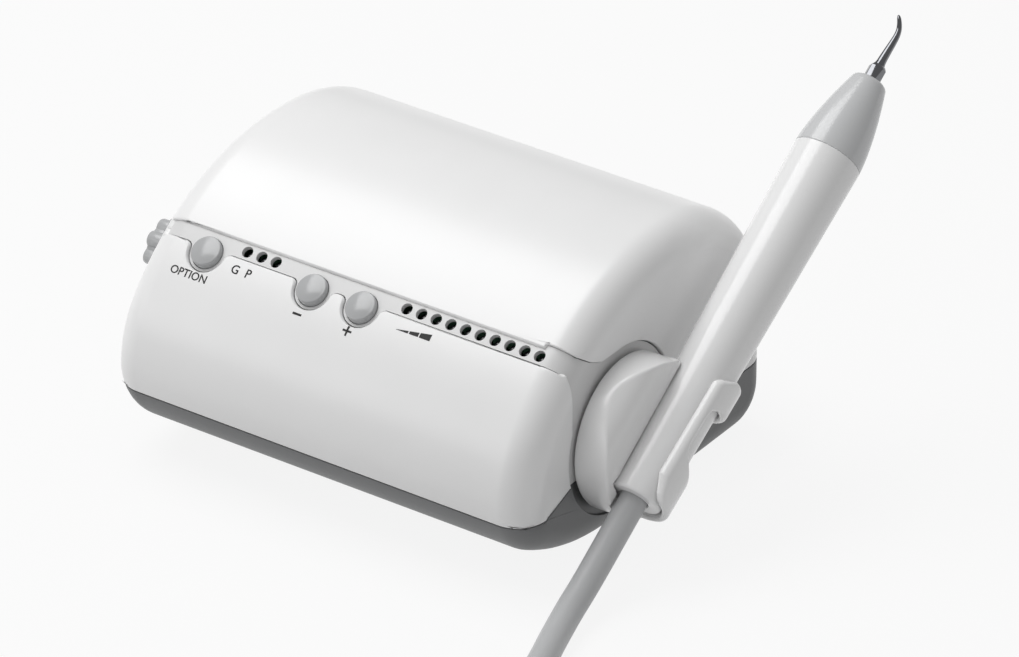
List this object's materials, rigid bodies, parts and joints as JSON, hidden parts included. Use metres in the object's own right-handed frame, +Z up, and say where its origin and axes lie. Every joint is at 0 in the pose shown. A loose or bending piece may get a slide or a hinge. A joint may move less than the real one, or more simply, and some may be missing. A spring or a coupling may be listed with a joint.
{
  "type": "ultrasonic dental scaler",
  "caption": "Domed desktop scaler unit with keys and lamp row, a swivelling side clip holding a tapered handpiece with curved tip, and a coiled cable",
  "frame": {"origin": "Middle of the unit's footprint, on the surface that the rubber feet stand on.", "axes": "+X runs along the unit to the end that carries the handpiece holder, -Y is the front with the keys, +Z is up."},
  "size_m": [0.185, 0.385, 0.1224],
  "materials": {
    "cover_white": "satin gloss ABS",
    "base_grey": "satin ABS",
    "strip_grey": "satin ABS",
    "panel_grey": "fine texture",
    "foot_rubber": "matt rubber",
    "steel": "zinc plated",
    "board_green": "solder resist over glass laminate",
    "lamp_clear": "tinted lamp lens",
    "switch_black": "moulded nylon",
    "button_grey": "polished moulding",
    "winding": "taped winding on a ferrite core",
    "heat_sink": "extruded",
    "capacitor_blue": "sleeved can",
    "socket_black": "moulded nylon",
    "socket_metal": "turned and anodised",
    "fitting_steel": "turned",
    "valve_grey": "moulded",
    "brass": "turned",
    "knob_grey": "moulded",
    "tube_clear": "soft tube",
    "holder_white": "gloss ABS",
    "handpiece_white": "polished heat-proof plastic",
    "nose_grey": "polished moulding",
    "light_ring": "clear ring",
    "titanium": "turned titanium",
    "ceramic": "fired ceramic",
    "seal_black": "moulded ring",
    "tip_chrome": "polished",
    "cable_grey": "silicone sheath",
    "tie_dark": "strap",
    "plug_grey": "moulded grip"
  },
  "bodies": {
    "unit": {"base_tray": "base_grey", "front_cover": "cover_white", "control_strip": "strip_grey", "top_cover": "cover_white", "rear_panel": "panel_grey", "rubber_feet": "foot_rubber", "case_screws": "steel", "lamp_board": "board_green", "mode_lamps": "lamp_clear", "level_lamps": "lamp_clear", "key_switches": "switch_black", "main_board": "board_green", "board_standoffs": "brass", "output_transformer": "winding", "heat_sink": "heat_sink", "capacitors": "capacitor_blue", "power_jack": "socket_black", "footswitch_jack": "socket_black", "handpiece_socket": "socket_metal", "water_inlet": "fitting_steel", "solenoid_valve": "valve_grey", "flow_valve": "brass", "water_tubes": "tube_clear", "pivot_bush": "brass", "handpiece_cable": "cable_grey", "cable_coil": "cable_grey", "coil_tie": "tie_dark", "plug_lead": "cable_grey", "cable_plug": "plug_grey"},
    "option_key": {"option_button": "button_grey"},
    "minus_key": {"minus_button": "button_grey"},
    "plus_key": {"plus_button": "button_grey"},
    "knob": {"water_knob": "knob_grey", "valve_stem": "steel"},
    "holder": {"holder_clip": "holder_white", "pivot_pin": "steel", "pivot_washer": "steel", "pivot_nut": "steel"},
    "handpiece": {"handpiece_body": "handpiece_white", "nose_cone": "nose_grey", "nose_light": "light_ring", "horn": "titanium", "piezo_rings": "ceramic", "back_mass": "steel", "preload_bolt": "steel", "horn_seals": "seal_black", "scaler_tip": "tip_chrome", "tail_connector": "socket_black", "cable_tail": "cable_grey"}
  },
  "joints": [
    {"name": "option_press", "type": "slide", "parent": "unit", "child": "option_key", "axis": [0, 0.5736, -0.8192], "range_m": [0, 0.001], "stiffness_N_per_m": 400, "springref_m": -0.0005},
    {"name": "minus_press", "type": "slide", "parent": "unit", "child": "minus_key", "axis": [0, 0.5736, -0.8192], "range_m": [0, 0.001], "stiffness_N_per_m": 400, "springref_m": -0.0005},
    {"name": "plus_press", "type": "slide", "parent": "unit", "child": "plus_key", "axis": [0, 0.5736, -0.8192], "range_m": [0, 0.001], "stiffness_N_per_m": 400, "springref_m": -0.0005},
    {"name": "water_turn", "type": "hinge", "parent": "unit", "child": "knob", "pos_m": [-0.0734, -0.03, 0.0525], "axis": [1, 0, 0], "range_deg": [0, 270]},
    {"name": "holder_swivel", "type": "hinge", "parent": "unit", "child": "holder", "pos_m": [0.0726, -0.01429, 0.03572], "axis": [1, 0, 0], "range_deg": [-35, 0], "deforming": ["handpiece_cable", "cable_tail"]},
    {"name": "handpiece_draw", "type": "slide", "parent": "holder", "child": "handpiece", "axis": [0, 0.8146, 0.58], "range_m": [0, 0.03], "deforming": ["cable_tail"]}
  ]
}
